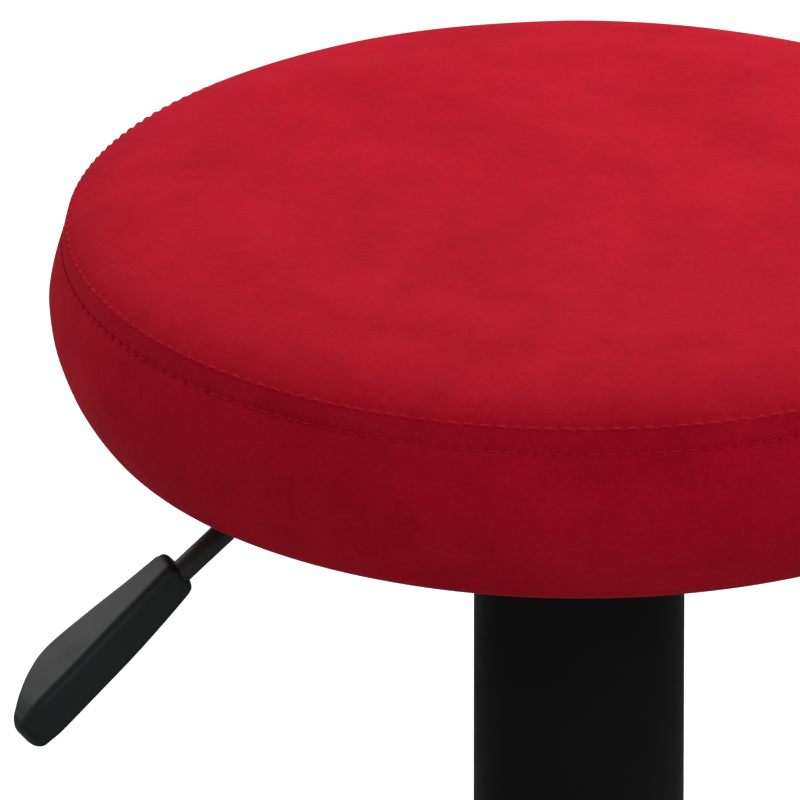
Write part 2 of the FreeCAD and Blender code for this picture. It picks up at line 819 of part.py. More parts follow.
def make_caster_hood():
    """The shell over both wheels, with the web between them and the stem's neck."""
    half = wheel_inner + wheel_width + 1.0
    shell = lying_cylinder(hood_radius, -half, half, -trail, axle_height)
    reach = 2 * hood_radius
    below = block(-trail - reach, -trail + reach, -reach, reach, -reach, axle_height + hood_edge)
    shell = shell.cut(below)
    web_radius = hood_radius - hood_wall / 2
    web = lying_cylinder(web_radius, -web_thickness / 2, web_thickness / 2, -trail, axle_height)
    web = web.cut(block(-trail - reach, -trail + reach, -reach, reach, -reach, axle_height - web_edge))
    neck = cylinder(neck_radius, axle_height + hood_edge, neck_top)
    hood = shell.multiFuse([web, neck])
    for side in (-1, 1):
        y0, y1 = sorted((side * web_thickness / 2, side * (half + 5)))
        hood = hood.cut(lying_cylinder(wheel_radius + hood_gap, y0, y1, -trail, axle_height))
    hood = hood.cut(lying_cylinder(axle_radius + fixed_gap, -10, 10, -trail, axle_height))
    hood = hood.cut(cylinder(stem_radius + fixed_gap, stem_bottom, neck_top + 1))
    return hood.removeSplitter()


def make_caster_axle():
    half = wheel_blind - slack
    return lying_cylinder(axle_radius, -half, half, -trail, axle_height)


def make_caster_wheel(side):
    """One nylon wheel with a rounded tread edge and a dished outer face."""
    inner = wheel_inner
    outer = inner + wheel_width
    bore = axle_radius + running_gap
    rim = wheel_radius
    points = [(bore, inner), (rim - 2, inner), (rim, inner + 2), (rim, outer - 4), (rim - 3, outer - 1),
              (rim - 6, outer), (rim - 8, outer - 2), (8.0, outer - 2), (7.0, outer), (0, outer),
              (0, wheel_blind), (bore, wheel_blind)]
    corners = [Vec(r, side * y, 0) for r, y in points]
    corners.append(corners[0])
    face = Part.Face(Part.makePolygon(corners))
    wheel = face.revolve(Vec(0, 0, 0), Vec(0, 1, 0), 360)
    wheel.translate(Vec(-trail, 0, axle_height))
    return wheel


def place_caster(shape, number):
    """Turn a caster piece to its own heading and carry it to the end of its leg."""
    placed = shape.copy()
    placed.rotate(Vec(0, 0, 0), UP, caster_headings[number])
    angle = math.radians(leg_angle(number))
    placed.translate(Vec(caster_circle * math.cos(angle), caster_circle * math.sin(angle), 0))
    return placed


# ---------------------------------------------------------------- write every piece

os.makedirs("parts", exist_ok=True)

SEAT_PIECES = {
    "seat_foam": make_seat_foam,
    "seat_top_panel": make_top_panel,
    "seat_side_band": make_side_band,
    "seat_board": make_seat_board,
    "seat_dust_cloth": make_dust_cloth,
    "seat_staples": make_staples,
    "seat_tee_nuts": make_tee_nuts,
    "seat_plate": make_seat_plate,
    "seat_plate_bolts": make_plate_bolts,
    "seat_plate_washers": make_plate_washers,
    "lift_taper_hub": make_taper_hub,
    "lever_bracket": make_lever_bracket,
    "lever_pivot_pin": make_lever_pin,
    "lever_rod": make_lever_rod,
    "lever_paddle": make_lever_paddle,
}

COLUMN_PIECES = {
    "lift_cylinder": make_gas_cylinder,
    "lift_valve_block": make_valve_block,
    "lift_release_button": make_release_button,
    "lift_rod_guide": make_rod_guide,
    "lift_rod_seal": make_rod_seal,
    "lift_piston_rod": make_piston_rod,
    "lift_piston_head": make_piston_head,
    "lift_piston_seal": make_piston_seal,
    "lift_stand_tube": make_stand_tube,
    "lift_guide_bush": make_guide_bush,
    "lift_bearing_lower_washer": make_lower_washer,
    "lift_bearing_upper_washer": make_upper_washer,
    "lift_bearing_caged_balls": make_caged_balls,
    "lift_bump_stop": make_bump_stop,
    "lift_rod_clip": make_rod_clip,
    "upper_cover": make_upper_cover,
    "middle_cover": make_middle_cover,
    "lower_cover": make_lower_cover,
    "base_hub": make_base_hub,
    "base_legs": make_base_legs,
}

CASTER_PIECES = {
    "stem": make_caster_stem(),
    "hood": make_caster_hood(),
    "axle": make_caster_axle(),
    "left_wheel": make_caster_wheel(1),
    "right_wheel": make_caster_wheel(-1),
}

for name, make in SEAT_PIECES.items():
    save(name, plate_frame(make()))

for name, make in COLUMN_PIECES.items():
    save(name, make())

for number in range(leg_count):
    for name, shape in CASTER_PIECES.items():
        save("caster_" + str(number + 1) + "_" + name, place_caster(shape, number))
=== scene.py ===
import json
import math

import bpy
from mathutils import Matrix, Vector, noise
from mathutils.kdtree import KDTree


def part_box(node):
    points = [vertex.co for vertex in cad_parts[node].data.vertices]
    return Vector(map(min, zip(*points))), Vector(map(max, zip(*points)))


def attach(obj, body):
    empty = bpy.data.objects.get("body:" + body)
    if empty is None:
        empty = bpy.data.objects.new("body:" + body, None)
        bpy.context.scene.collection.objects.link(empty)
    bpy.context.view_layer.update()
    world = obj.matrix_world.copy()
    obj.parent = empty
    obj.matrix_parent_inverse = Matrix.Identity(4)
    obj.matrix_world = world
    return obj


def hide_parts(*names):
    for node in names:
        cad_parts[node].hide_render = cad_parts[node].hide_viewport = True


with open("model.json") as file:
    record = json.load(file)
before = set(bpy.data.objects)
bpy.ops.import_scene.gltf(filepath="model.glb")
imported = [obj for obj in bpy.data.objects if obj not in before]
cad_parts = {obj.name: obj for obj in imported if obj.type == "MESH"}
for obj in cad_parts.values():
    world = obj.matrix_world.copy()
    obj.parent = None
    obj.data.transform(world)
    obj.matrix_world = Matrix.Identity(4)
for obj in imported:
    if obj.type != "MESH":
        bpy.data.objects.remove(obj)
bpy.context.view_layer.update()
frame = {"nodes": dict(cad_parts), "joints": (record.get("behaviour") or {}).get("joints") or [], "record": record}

MM = 0.001

# ---- places read from the frame ----
TOP_LOW, TOP_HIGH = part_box("seat_top_panel")
BAND_LOW, BAND_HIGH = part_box("seat_side_band")
SEAM_RADIUS = (TOP_HIGH[0] - TOP_LOW[0]) / 2
SEAM_HEIGHT = TOP_LOW[2]
CROWN_HEIGHT = TOP_HIGH[2] - SEAM_HEIGHT
BOARD_LOW, BOARD_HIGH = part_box("seat_board")
UNDERSIDE = BOARD_LOW[2]
BOARD_TOP = BOARD_HIGH[2]
BOARD_RADIUS = (BOARD_HIGH[0] - BOARD_LOW[0]) / 2
MARGIN_BOTTOM = BAND_LOW[2]

# ---- velvet cover ----
CROWN_FLAT = 0.8          # part of the crown that stays level until the rim turns down
CROWN_POWER = 12.4        # how sharply the rim turns down
BAND_HEIGHT = 8.0 * MM    # between the two rows of stitching
BAND_FLARE = 1.65         # how far the lower row stands out past the upper one, in millimetres
MARGIN_INNER = 131 * MM   # where the side ends under the board
MARGIN_LIFT = 0.1 * MM    # the hem's edge, below the board
FOAM_INSET = 3.4 * MM     # from the velvet's face to the foam
FOAM_LIFT = 0.3 * MM      # the foam's underside, above the board's

# slow waves in the velvet, each with its height, its waves per metre and its seed
TOP_WAVES = ((0.9 * MM, 11, 3.1), (0.35 * MM, 34, 7.7))
SIDE_WAVES = ((0.8 * MM, 14, 5.3), (0.3 * MM, 42, 1.9))
WAVE_FADE = 18 * MM       # from the seam to where the top's waves are at their full height
SIDE_WAVE_TOP = 9.0       # the side's waves lie between these drops, in millimetres, and fade in and out
SIDE_WAVE_BOTTOM = 64.0
SIDE_FADE_IN = 8.0
SIDE_FADE_OUT = 10.0

# radius and height of the side against the upper row of stitching, in millimetres
SIDE_OUTLINE = (
    (0.0, 0.0), (0.9, -4.3), (1.8, -8.7), (2.7, -11.5), (3.6, -15.0), (4.7, -20.0), (5.5, -25.0),
    (5.4, -29.5), (4.8, -34.0), (3.8, -38.0), (2.5, -42.0), (1.0, -46.0), (-0.8, -50.0), (-3.0, -54.0),
    (-5.6, -58.4), (-9.0, -62.8), (-13.0, -66.0), (-18.5, -68.3), (-27.0, -69.2),
)

# ---- mesh of the velvet ----
PER_STITCH = 6            # divisions along one stitch, at the rim and on the side
COARSE_PER_STITCH = 1     # divisions near the middle of the top
COARSE_RADIUS = 0.70      # share of the seam radius inside which the top is coarse
COARSE_RINGS = 26
FIRST_FINE_STEP = 0.035   # from the coarse middle to the first fine ring, as a share of the seam radius
FINE_STEP = 0.022
RIM_START = 0.93          # from here out, the rings crowd towards the seam
RIM_RINGS = 16
RIM_CROWDING = 1.6
CROWN_RINGS = 40          # of the cushion that is simulated
FOAM_RINGS = 32
FOAM_STEPS = 180
FOAM_SIDE_START = 4       # points of the outline that the foam leaves out next to the seam, for a round rim

# ---- stitching: where there are two values, they are the upper and the lower row's ----
STITCHES = 198            # in each row
ROW_STAGGER = 0.45        # how far the lower row's stitches are moved along, as a share of the pitch
STITCH_LENGTH = 0.74      # share of the pitch that the thread covers
THREAD_RADIUS = (0.38 * MM, 0.35 * MM)
THREAD_SIDES = 6
THREAD_STEPS = 8
THREAD_RISE = 1.15        # how high the thread lies at mid-stitch, in its own radii
THREAD_SINK = 0.75        # how deep it starts, in the needle hole
THREAD_SHOULDER = 0.4     # the lower, the steeper it comes out of the hole
THREAD_END = 0.78         # its thickness in the needle hole, as a share
PUCKER_DEPTH = (0.42 * MM, 0.62 * MM)
PUCKER_RELIEF = 0.62      # share of the pucker that is gone halfway along a stitch
PUCKER_REACH = 0.35       # how far it reaches from the needle hole, as a share of half a stitch
GROOVE_DEPTH = 0.35 * MM
GROOVE_WIDTH = 1.5 * MM
TOP_PULL = 0.55           # shares of the upper row's dip that the top and the side take
SIDE_PULL = 0.7
TOP_GROOVE_PLACE = 0.6 * MM   # the dip's deepest line, in from the seam
RIM_DIP = 0.10 * MM       # a faint fall of the top towards each needle hole
RIM_DIP_REACH = 4 * MM
SEAM_OUT = 0.62           # the upper row faces out and up in these shares
SEAM_UP = 0.78
UPPER_ROW_IN = 0.45 * MM  # the upper row's thread, in from the seam and above it
UPPER_ROW_UP = 0.35 * MM
UPPER_ROW_FOLLOW = 0.4    # how far it moves inward as the velvet dips
LOWER_ROW_OUT = 0.30 * MM     # the lower row's thread, out of its groove
LOWER_ROW_SPRING = 0.7    # share of the pucker that it bridges

# ---- stuffing, by cloth simulation ----
SWELL = 1.2 * MM          # as far as the stuffing may push the cover out; the foam keeps it from sinking
SWELL_VOXEL = 6 * MM
SWELL_PRESSURE = 4.0
SWELL_FRAMES = 20
SWELL_QUALITY = 5
SWELL_STEPS = 200         # divisions round the cushion before it is remeshed
SEWN_WIDTH = 4.5 * MM     # either side of a row of stitching, the cover is held by its thread
FREE_REACH = 12 * MM      # past that, how soon it swells fully
NEIGHBOURS = 8            # simulated points that each point of the velvet follows
NEIGHBOUR_SOFTENING = 0.5 * MM

# ---- lever paddle, in its own frame ----
PADDLE_START = 150.3 * MM  # from the lift's axis to the paddle's socket
PADDLE_DROP = 28.6 * MM    # the socket below the seat's underside
PADDLE_SLOPE = math.radians(39.9)
PADDLE_EDGE = 2.8 * MM     # rounding of the long edges
PADDLE_EDGE_SHARE = 0.42   # and no more than this share of the width
PADDLE_EDGE_STEPS = 10
PADDLE_FLAT_EDGE = 0.4 * MM    # from a rounded edge to the point that keeps its face flat
PADDLE_HEEL = 2.4 * MM     # rounding of the end where the rod enters
PADDLE_HEEL_STEPS = 4
PADDLE_TIP = 4.6 * MM      # rounding of the outer end
PADDLE_TIP_STEPS = 8
PADDLE_TIP_END = 8.3       # a little more than the steps, which leaves a small flat on the tip
PADDLE_TIP_NARROWING = 0.8     # how the tip closes in sideways and from top to bottom
PADDLE_TIP_THINNING = 0.62
PADDLE_TAPER = 0.75        # how fast the far side closes in over the tip
PADDLE_SKEW = 0.22         # how far the rod's end leans, its far side nearer the seat
PADDLE_SKEW_LENGTH = 16 * MM
PADDLE_SKEW_MIDDLE = 2 * MM    # the line that the lean leaves in place
SOCKET_RADIUS = 4.15 * MM
SOCKET_DEPTH = 5.0 * MM

# each section in millimetres: along the axis, then its near and far sides, its top and its underside
PADDLE_SECTIONS = (
    (0.0, 4.6, -7.0, 7.7, -6.1), (12.0, 4.9, -9.4, 8.2, -6.6), (30.0, 5.3, -13.2, 9.0, -6.8),
    (48.0, 5.9, -15.9, 9.8, -6.0), (58.0, 6.1, -13.2, 10.3, -5.6), (66.0, 6.0, -8.4, 10.4, -5.4),
    (71.5, 5.4, -5.0, 9.4, -5.0),
)
SECTION_STEPS = 8          # rings from one section to the next
HEEL_RINGS = 3             # of those, how many the rounded heel takes the place of

# ---- camera ----
ELEVATION = math.radians(23.5)
CAMERA_DISTANCE = 11.11
FOCAL_LENGTH = 1500.0
SENSOR_WIDTH = 36.0
NEAR_CLIP = 0.1
FAR_CLIP = 100.0
AIM_SIDE = -60.0 * MM      # the view's centre, to the side of the lift's axis
AIM_DROP = 58.45 * MM      # and below the upper row of stitching, square to the view

# ---- light ----
SKY = 0.30
FLOOR_BOUNCE = 0.45        # what the floor reflects onto the stool
FLOOR_GLOW = 0.90          # what the camera sees on top of that, for a white studio floor
FLOOR_SIZE = 40.0
LIGHTS_AIM = (0, 0, 0.45)

# each with its name, place, size in metres, watts and colour
LIGHTS = (
    ("key", (0.6, 0.9, 1.5), 0.9, 16.5, (1, 1, 1)),
    ("back_box", (-1.5, 1.3, 1.55), 1.2, 11.5, (1, 1, 1)),
    ("left_box", (-1.9, -0.7, 0.75), 1.0, 3.3, (1.0, 0.93, 0.84)),
    ("fill", (1.3, -1.6, 1.35), 1.4, 11.7, (1.0, 0.95, 1.06)),
)

UP = Vector((0, 0, 1))


def link(obj):
    bpy.context.scene.collection.objects.link(obj)
    return obj


def frame_joint(name):
    for joint in frame["joints"]:
        if joint["name"] == name:
            return joint
    raise ValueError(name)


def mesh_object(name, vertices, faces, smooth=True):
    mesh = bpy.data.meshes.new(name)
    mesh.from_pydata([tuple(v) for v in vertices], [], faces)
    mesh.validate()
    if smooth:
        mesh.polygons.foreach_set("use_smooth", [True] * len(mesh.polygons))
    return link(bpy.data.objects.new(name, mesh))


# ---------------------------------------------------------------- materials

def new_material(name):
    material = bpy.data.materials.new(name)
    material.use_nodes = True
    tree = material.node_tree
    tree.nodes.clear()
    output = tree.nodes.new("ShaderNodeOutputMaterial")
    shader = tree.nodes.new("ShaderNodeBsdfPrincipled")
    tree.links.new(shader.outputs["BSDF"], output.inputs["Surface"])
    return material, tree, shader


def noise_node(tree, scale, detail=3.0, roughness=0.5, stretch=(1, 1, 1), offset=(0, 0, 0)):
    """Noise in the object's own coordinates."""
    coordinates = tree.nodes.new("ShaderNodeTexCoord")
    mapping = tree.nodes.new("ShaderNodeMapping")
    mapping.inputs["Scale"].default_value = stretch
    mapping.inputs["Location"].default_value = offset
    texture = tree.nodes.new("ShaderNodeTexNoise")
    texture.inputs["Scale"].default_value = scale
    texture.inputs["Detail"].default_value = detail
    texture.inputs["Roughness"].default_value = roughness
    tree.links.new(coordinates.outputs["Object"], mapping.inputs["Vector"])
    tree.links.new(mapping.outputs["Vector"], texture.inputs["Vector"])
    return texture.outputs["Fac"]


def ramp(tree, value, stops):
    """A colour ramp through (position, colour) stops."""
    node = tree.nodes.new("ShaderNodeValToRGB")
    elements = node.color_ramp.elements
    for element, (place, colour) in zip(elements, stops):
        element.position = place
        element.color = (*colour, 1.0)
    for place, colour in stops[2:]:
        element = elements.new(place)
        element.color = (*colour, 1.0)
    tree.links.new(value, node.inputs["Fac"])
    return node.outputs["Color"]


def mix_colour(tree, factor, first, second, mode="MIX"):
    node = tree.nodes.new("ShaderNodeMix")
    node.data_type = "RGBA"
    node.blend_type = mode
    if isinstance(factor, float):
        node.inputs["Factor"].default_value = factor
    else:
        tree.links.new(factor, node.inputs["Factor"])
    for value, index in ((first, 6), (second, 7)):
        if isinstance(value, tuple):
            node.inputs[index].default_value = (*value, 1.0)
        else:
            tree.links.new(value, node.inputs[index])
    return node.outputs[2]


def bump(tree, shader, height, strength, distance, before=None):
    node = tree.nodes.new("ShaderNodeBump")
    node.inputs["Strength"].default_value = strength
    node.inputs["Distance"].default_value = distance
    tree.links.new(height, node.inputs["Height"])
    if before is not None:
        tree.links.new(before, node.inputs["Normal"])
    tree.links.new(node.outputs["Normal"], shader.inputs["Normal"])
    return node.outputs["Normal"]


def velvet_material(name, deep, light):
    """Short-piled velvet: cloudy patches of brushed nap, a faint sheen and a fine grain."""
    material, tree, shader = new_material(name)
    clouds = noise_node(tree, 26.0, detail=5.0, roughness=0.62)
    smudges = noise_node(tree, 62.0, detail=4.0, roughness=0.6, offset=(0.7, 0.2, 0.4))
    broad = ramp(tree, clouds, [(0.36, deep), (0.62, light)])
    marks = ramp(tree, smudges, [(0.36, (0.93, 0.86, 0.95)), (0.56, (1.0, 1.0, 1.0))])
    grain = noise_node(tree, 650.0, detail=3.0, roughness=0.7, stretch=(0.7, 1.0, 1.0))
    grain_tone = ramp(tree, grain, [(0.32, (0.90, 0.90, 0.90)), (0.68, (1.06, 1.06, 1.06))])
    patches = mix_colour(tree, 1.0, broad, marks, "MULTIPLY")
    colour = mix_colour(tree, 1.0, patches, grain_tone, "MULTIPLY")
    tree.links.new(colour, shader.inputs["Base Color"])
    shader.inputs["Roughness"].default_value = 0.85
    shader.inputs["Specular IOR Level"].default_value = 0.05
    shader.inputs["Sheen Weight"].default_value = 0.05
    shader.inputs["Sheen Roughness"].default_value = 0.4
    shader.inputs["Sheen Tint"].default_value = (1.0, 0.2, 0.2, 1.0)
    coarse = noise_node(tree, 140.0, detail=5.0, roughness=0.6)
    first = bump(tree, shader, coarse, 0.25, 0.0006)
    bump(tree, shader, grain, 0.35, 0.0003, first)
    return material


def thread_material():
    material, tree, shader = new_material("sewing_thread")
    twist = noise_node(tree, 900.0, detail=3.0, stretch=(1, 1, 3))
    tone = ramp(tree, twist, [(0.35, (0.50, 0.006, 0.024)), (0.65, (0.66, 0.012, 0.036))])
    tree.links.new(tone, shader.inputs["Base Color"])
    shader.inputs["Roughness"].default_value = 0.7
    shader.inputs["Specular IOR Level"].default_value = 0.04
    bump(tree, shader, twist, 0.4, 0.0002)
    return material


def plastic_material(name, dark, light, roughness, grain_scale, grain_depth, specular=0.4):
    """Moulded plastic with a fine grain and faint handling marks."""
    material, tree, shader = new_material(name)
    wear = noise_node(tree, 22.0, detail=5.0)
    tree.links.new(ramp(tree, wear, [(0.35, dark), (0.70, light)]), shader.inputs["Base Color"])
    marks = noise_node(tree, 60.0, detail=4.0, offset=(3, 1, 2))
    low, high = roughness
    rough = ramp(tree, marks, [(0.30, (low,) * 3), (0.70, (high,) * 3)])
    tree.links.new(rough, shader.inputs["Roughness"])
    shader.inputs["Specular IOR Level"].default_value = specular
    grain = noise_node(tree, grain_scale, detail=2.0, roughness=0.6)
    bump(tree, shader, grain, 0.3, grain_depth)
    return material


def metal_material(name, colour, roughness, brushed=(1, 1, 1), scale=180.0):
    """Bare or plated metal with fine working marks."""
    material, tree, shader = new_material(name)
    marks = noise_node(tree, scale, detail=4.0, stretch=brushed)
    darker = tuple(0.78 * c for c in colour)
    tree.links.new(ramp(tree, marks, [(0.3, darker), (0.7, colour)]), shader.inputs["Base Color"])
    shader.inputs["Metallic"].default_value = 1.0
    low, high = roughness
    tree.links.new(ramp(tree, marks, [(0.3, (low,) * 3), (0.7, (high,) * 3)]), shader.inputs["Roughness"])
    bump(tree, shader, marks, 0.15, 0.0002)
    return material


def wood_material():
    """Birch plywood, with grain along X and layers on its edge."""
    material, tree, shader = new_material("birch_plywood")
    grain = noise_node(tree, 30.0, detail=6.0, roughness=0.65, stretch=(0.15, 1.6, 8.0))
    tone = ramp(tree, grain, [(0.3, (0.36, 0.22, 0.10)), (0.7, (0.62, 0.44, 0.25))])
    tree.links.new(tone, shader.inputs["Base Color"])
    shader.inputs["Roughness"].default_value = 0.6
    bump(tree, shader, grain, 0.25, 0.0004)
    return material


def cloth_material(name, dark, light, pitch):
    """Plain woven or pressed cloth."""
    material, tree, shader = new_material(name)
    fibres = noise_node(tree, pitch, detail=4.0, stretch=(1, 0.4, 1))
    tree.links.new(ramp(tree, fibres, [(0.3, dark), (0.7, light)]), shader.inputs["Base Color"])
    shader.inputs["Roughness"].default_value = 0.95
    shader.inputs["Specular IOR Level"].default_value = 0.1
    bump(tree, shader, fibres, 0.5, 0.0003)
    return material


def paint(node, material):
    """Give a CAD node one material."""
    mesh = frame["nodes"][node].data
    mesh.materials.clear()
    mesh.materials.append(material)


# ---------------------------------------------------------------- the seat's outline

def crown_point(share, height=CROWN_HEIGHT):
    """How high the top stands above the seam, at a share of the seam radius."""
    return height * (CROWN_FLAT * (1 - share ** CROWN_POWER) + (1 - CROWN_FLAT) * (1 - share ** 2))


def round_point(radius, height, angle):
    return Vector((radius * math.cos(angle), radius * math.sin(angle), height))


def crown_outline(radius, height, steps):
    """Radius and height from the middle of the top out to the seam, closer together near the seam."""
    shares = [math.sin(math.pi / 2 * part / steps) for part in range(steps + 1)]
    return [(radius * share, SEAM_HEIGHT + crown_point(share, height)) for share in shares]


def smooth_outline(points, steps):
    """Points along a Catmull-Rom curve through a short list, each point of any dimension."""
    padded = [points[0]] + list(points) + [points[-1]]
    result = []
    for a, b, c, d in zip(padded, padded[1:], padded[2:], padded[3:]):
        for step in range(steps):
            t = step / steps
            result.append(tuple(
                0.5 * ((2 * q) + (r - p) * t + (2 * p - 5 * q + 4 * r - s) * t * t
                       + (3 * q - p - 3 * r + s) * t ** 3)
                for p, q, r, s in zip(a, b, c, d)))
    result.append(points[-1])
    return result


def ramped(value):
    """A value held between 0 and 1."""
    return min(1.0, max(0.0, value))


def slow_waves(x, y, z, waves):
    """The sum of a few smooth noises, each of its own height, scale and seed."""
    total = 0.0
    for height, scale, seed in waves:
        total += height * noise.noise(Vector((x * scale + seed, y * scale - seed, z * scale + 2 * seed)))
    return total


def stitch_phase(angle, row):
    """Where an angle falls within its stitch, from 0 to 1."""
    return (angle / (2 * math.pi) * STITCHES + ROW_STAGGER * row) % 1.0


def pucker(phase):
    """How strongly the thread pulls the velvet in: full at the needle holes."""
    hole = min(phase, 1 - phase) * 2
    return 1.0 - PUCKER_RELIEF * (1 - math.exp(-(hole / PUCKER_REACH) ** 2))


def row_pull(distance, phase, row):
    """The dip beside a row of stitching at a distance along the surface."""
    return (GROOVE_DEPTH + PUCKER_DEPTH[row] * pucker(phase)) * math.exp(-(distance / GROOVE_WIDTH) ** 2)


def top_surface(share, angle):
    """A point on the velvet's top."""
    radius = share * SEAM_RADIUS
    x, y = radius * math.cos(angle), radius * math.sin(angle)
    edge = SEAM_RADIUS - radius
    height = SEAM_HEIGHT + crown_point(share)
    height += ramped(edge / WAVE_FADE) * slow_waves(x, y, 0, TOP_WAVES)
    phase = stitch_phase(angle, 0)
    height -= TOP_PULL * row_pull(edge - TOP_GROOVE_PLACE, phase, 0)
    height -= RIM_DIP * math.exp(-edge / RIM_DIP_REACH) * pucker(phase)
    return Vector((x, y, height))


def side_surface(offset, drop, angle):
    """A point on the velvet's side, from its outline's radius offset and height."""
    radius = SEAM_RADIUS + offset * MM
    height = SEAM_HEIGHT + drop * MM
    x, y = radius * math.cos(angle), radius * math.sin(angle)
    fade = ramped((-drop - SIDE_WAVE_TOP) / SIDE_FADE_IN) * ramped((SIDE_WAVE_BOTTOM + drop) / SIDE_FADE_OUT)
    radius += fade * slow_waves(x, y, height, SIDE_WAVES)
    radius -= row_pull(-drop * MM, stitch_phase(angle, 0), 0) * SIDE_PULL
    radius -= row_pull(abs(drop * MM + BAND_HEIGHT), stitch_phase(angle, 1), 1)
    return round_point(radius, height, angle)


# ---------------------------------------------------------------- stuffing, by cloth simulation

def free_share(distance):
    """How free the cover is to swell, at a distance from the nearest place it is held: 0 to 1."""
    reach = ramped((distance - SEWN_WIDTH) / FREE_REACH)
    return reach * reach * (3 - 2 * reach)


def held_distance(point):
    """Distance from a point of the cover to the nearest stitching or to the board's edge."""
    radius = math.hypot(point.x, point.y)
    rows = ((SEAM_RADIUS, SEAM_HEIGHT), (SEAM_RADIUS + BAND_FLARE * MM, SEAM_HEIGHT - BAND_HEIGHT))
    nearest = min(math.hypot(radius - row, point.z - height) for row, height in rows)
    return max(0.0, min(nearest, point.z - UNDERSIDE))


def closed_cushion():
    """The cover's shape as one closed form, remeshed into even cells for the simulation."""
    outline = crown_outline(SEAM_RADIUS, CROWN_HEIGHT, CROWN_RINGS)
    for offset, drop in smooth_outline(SIDE_OUTLINE, 2)[1:]:
        outline.append((SEAM_RADIUS + offset * MM, SEAM_HEIGHT + drop * MM))
    outline.append((0.0, outline[-1][1]))
    cushion = lathe("stuffed_cushion", outline, SWELL_STEPS)
    remesh = cushion.modifiers.new("remesh", "REMESH")
    remesh.mode = "VOXEL"
    remesh.voxel_size = SWELL_VOXEL
    graph = bpy.context.evaluated_depsgraph_get()
    remeshed = bpy.data.meshes.new_from_object(cushion.evaluated_get(graph))
    cushion.modifiers.clear()
    cushion.data = remeshed
    return cushion


def simulate_stuffing():
    """Blow up a closed copy of the cover, sewn down at its rows: its points, and how far each moves."""
    cushion = closed_cushion()
    starts = [vertex.co.copy() for vertex in cushion.data.vertices]
    sewn = cushion.vertex_groups.new(name="sewn")
    held = [number for number, start in enumerate(starts) if held_distance(start) < SEWN_WIDTH]
    sewn.add(held, 1.0, "REPLACE")
    cloth = cushion.modifiers.new("cloth", "CLOTH")
    cloth.settings.vertex_group_mass = "sewn"
    cloth.settings.use_pressure = True
    cloth.settings.uniform_pressure_force = SWELL_PRESSURE
    cloth.settings.effector_weights.gravity = 0.0
    cloth.settings.quality = SWELL_QUALITY
    cloth.collision_settings.use_collision = False
    cloth.point_cache.frame_end = SWELL_FRAMES
    scene = bpy.context.scene
    for frame_number in range(1, SWELL_FRAMES + 1):
        scene.frame_set(frame_number)
    graph = bpy.context.evaluated_depsgraph_get()
    swollen = cushion.evaluated_get(graph).data
    tree = KDTree(len(starts))
    moves = []
    for number, (start, vertex) in enumerate(zip(starts, swollen.vertices)):
        move = vertex.co - start
        outward = min(SWELL, max(0.0, move.dot(vertex.normal)))
        moves.append(vertex.normal * outward)
        tree.insert(start, number)
    tree.balance()
    scene.frame_set(1)
    bpy.data.objects.remove(cushion)
    return tree, moves


def stuff(piece, stuffing):
    """Move a velvet piece as the simulated cover nearest to each of its points moved."""
    tree, moves = stuffing
    for vertex in piece.data.vertices:
        total = Vector((0, 0, 0))
        weights = 0.0
        for _, number, distance in tree.find_n(vertex.co, NEIGHBOURS):
            weight = 1 / (distance + NEIGHBOUR_SOFTENING) ** 2
            total += moves[number] * weight
            weights += weight
        vertex.co += total / weights * free_share(held_distance(vertex.co))


# ---------------------------------------------------------------- velvet pieces

def turns(count):
    """Evenly spaced angles once round."""
    return [2 * math.pi * step / count for step in range(count)]


def join_rings(faces, rings, count):
    """Quads between rings of vertices, given by the number of each ring's first vertex."""
    for inner, outer in zip(rings, rings[1:]):
        for step in range(count):
            following = (step + 1) % count
            faces.append((inner + step, outer + step, outer + following, inner + following))


def fine_shares():
    """Where the top's fine rings lie, as shares of the seam radius: evenly, then crowding to the seam."""
    shares = [COARSE_RADIUS + FIRST_FINE_STEP]
    while shares[-1] < RIM_START:
        shares.append(shares[-1] + FINE_STEP)
    start = shares[-1]
    for ring in range(1, RIM_RINGS + 1):
        shares.append(start + (1 - start) * (1 - (1 - ring / RIM_RINGS) ** RIM_CROWDING))
    return shares


def velvet_top():
    """The top panel: a coarse middle and a fine rim, joined by one ring of fans."""
    fine = STITCHES * PER_STITCH
    coarse = STITCHES * COARSE_PER_STITCH
    ratio = fine // coarse
    vertices = [top_surface(0.0, 0.0)]
    coarse_rings = []
    for ring in range(1, COARSE_RINGS + 1):
        coarse_rings.append(len(vertices))
        vertices.extend(top_surface(COARSE_RADIUS * ring / COARSE_RINGS, angle) for angle in turns(coarse))
    fine_rings = []
    for share in fine_shares():
        fine_rings.append(len(vertices))
        vertices.extend(top_surface(share, angle) for angle in turns(fine))
    faces = []
    for step in range(coarse):
        faces.append((0, coarse_rings[0] + step, coarse_rings[0] + (step + 1) % coarse))
    join_rings(faces, coarse_rings, coarse)
    inner, outer = coarse_rings[-1], fine_rings[0]
    for step in range(coarse):
        fan = [outer + (step * ratio + part) % fine for part in range(ratio + 1)]
        faces.append((inner + step, *fan, inner + (step + 1) % coarse))
    join_rings(faces, fine_rings, fine)
    return mesh_object("velvet_top", vertices, faces)


def velvet_side():
    """The side band, from the seam down and under the board."""
    fine = STITCHES * PER_STITCH
    vertices = []
    for offset, drop in smooth_outline(SIDE_OUTLINE, 4):
        vertices.extend(side_surface(offset, drop, angle) for angle in turns(fine))
    for height in (MARGIN_BOTTOM, UNDERSIDE - MARGIN_LIFT):
        vertices.extend(round_point(MARGIN_INNER, height, angle) for angle in turns(fine))
    faces = []
    join_rings(faces, range(0, len(vertices), fine), fine)
    return mesh_object("velvet_side", vertices, faces)


